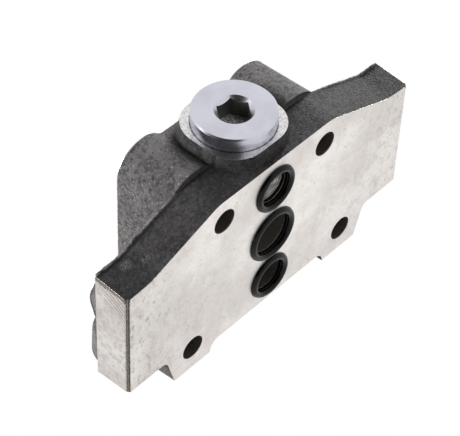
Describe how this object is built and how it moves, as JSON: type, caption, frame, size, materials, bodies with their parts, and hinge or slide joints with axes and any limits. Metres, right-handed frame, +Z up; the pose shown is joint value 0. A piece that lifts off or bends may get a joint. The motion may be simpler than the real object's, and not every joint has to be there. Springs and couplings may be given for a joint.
{
  "type": "valve outlet section",
  "caption": "Outlet end section of a sectional hydraulic valve: cast body with sealed galleries on its mating face, tie rod holes, a plugged top port and a rear port",
  "frame": {"origin": "on the mating face, midway between the two lower tie rod holes", "axes": "+Z up, +X along the plate, +Y from the mating face into the body; the feet rest at Z = -9.65 mm"},
  "size_m": [0.1284, 0.0363, 0.0769],
  "materials": {
    "cast_iron": "raw sand-cast skin, mating face and bores machined bright",
    "zinc_steel": "bright zinc plating with a bluish tint",
    "seal": "satin black"
  },
  "bodies": {
    "root": {"outlet_body": "cast_iron", "port_plug": "zinc_steel", "plug_seal": "seal", "upper_gallery_seal": "seal", "centre_gallery_seal": "seal", "lower_gallery_seal": "seal"}
  },
  "joints": []
}
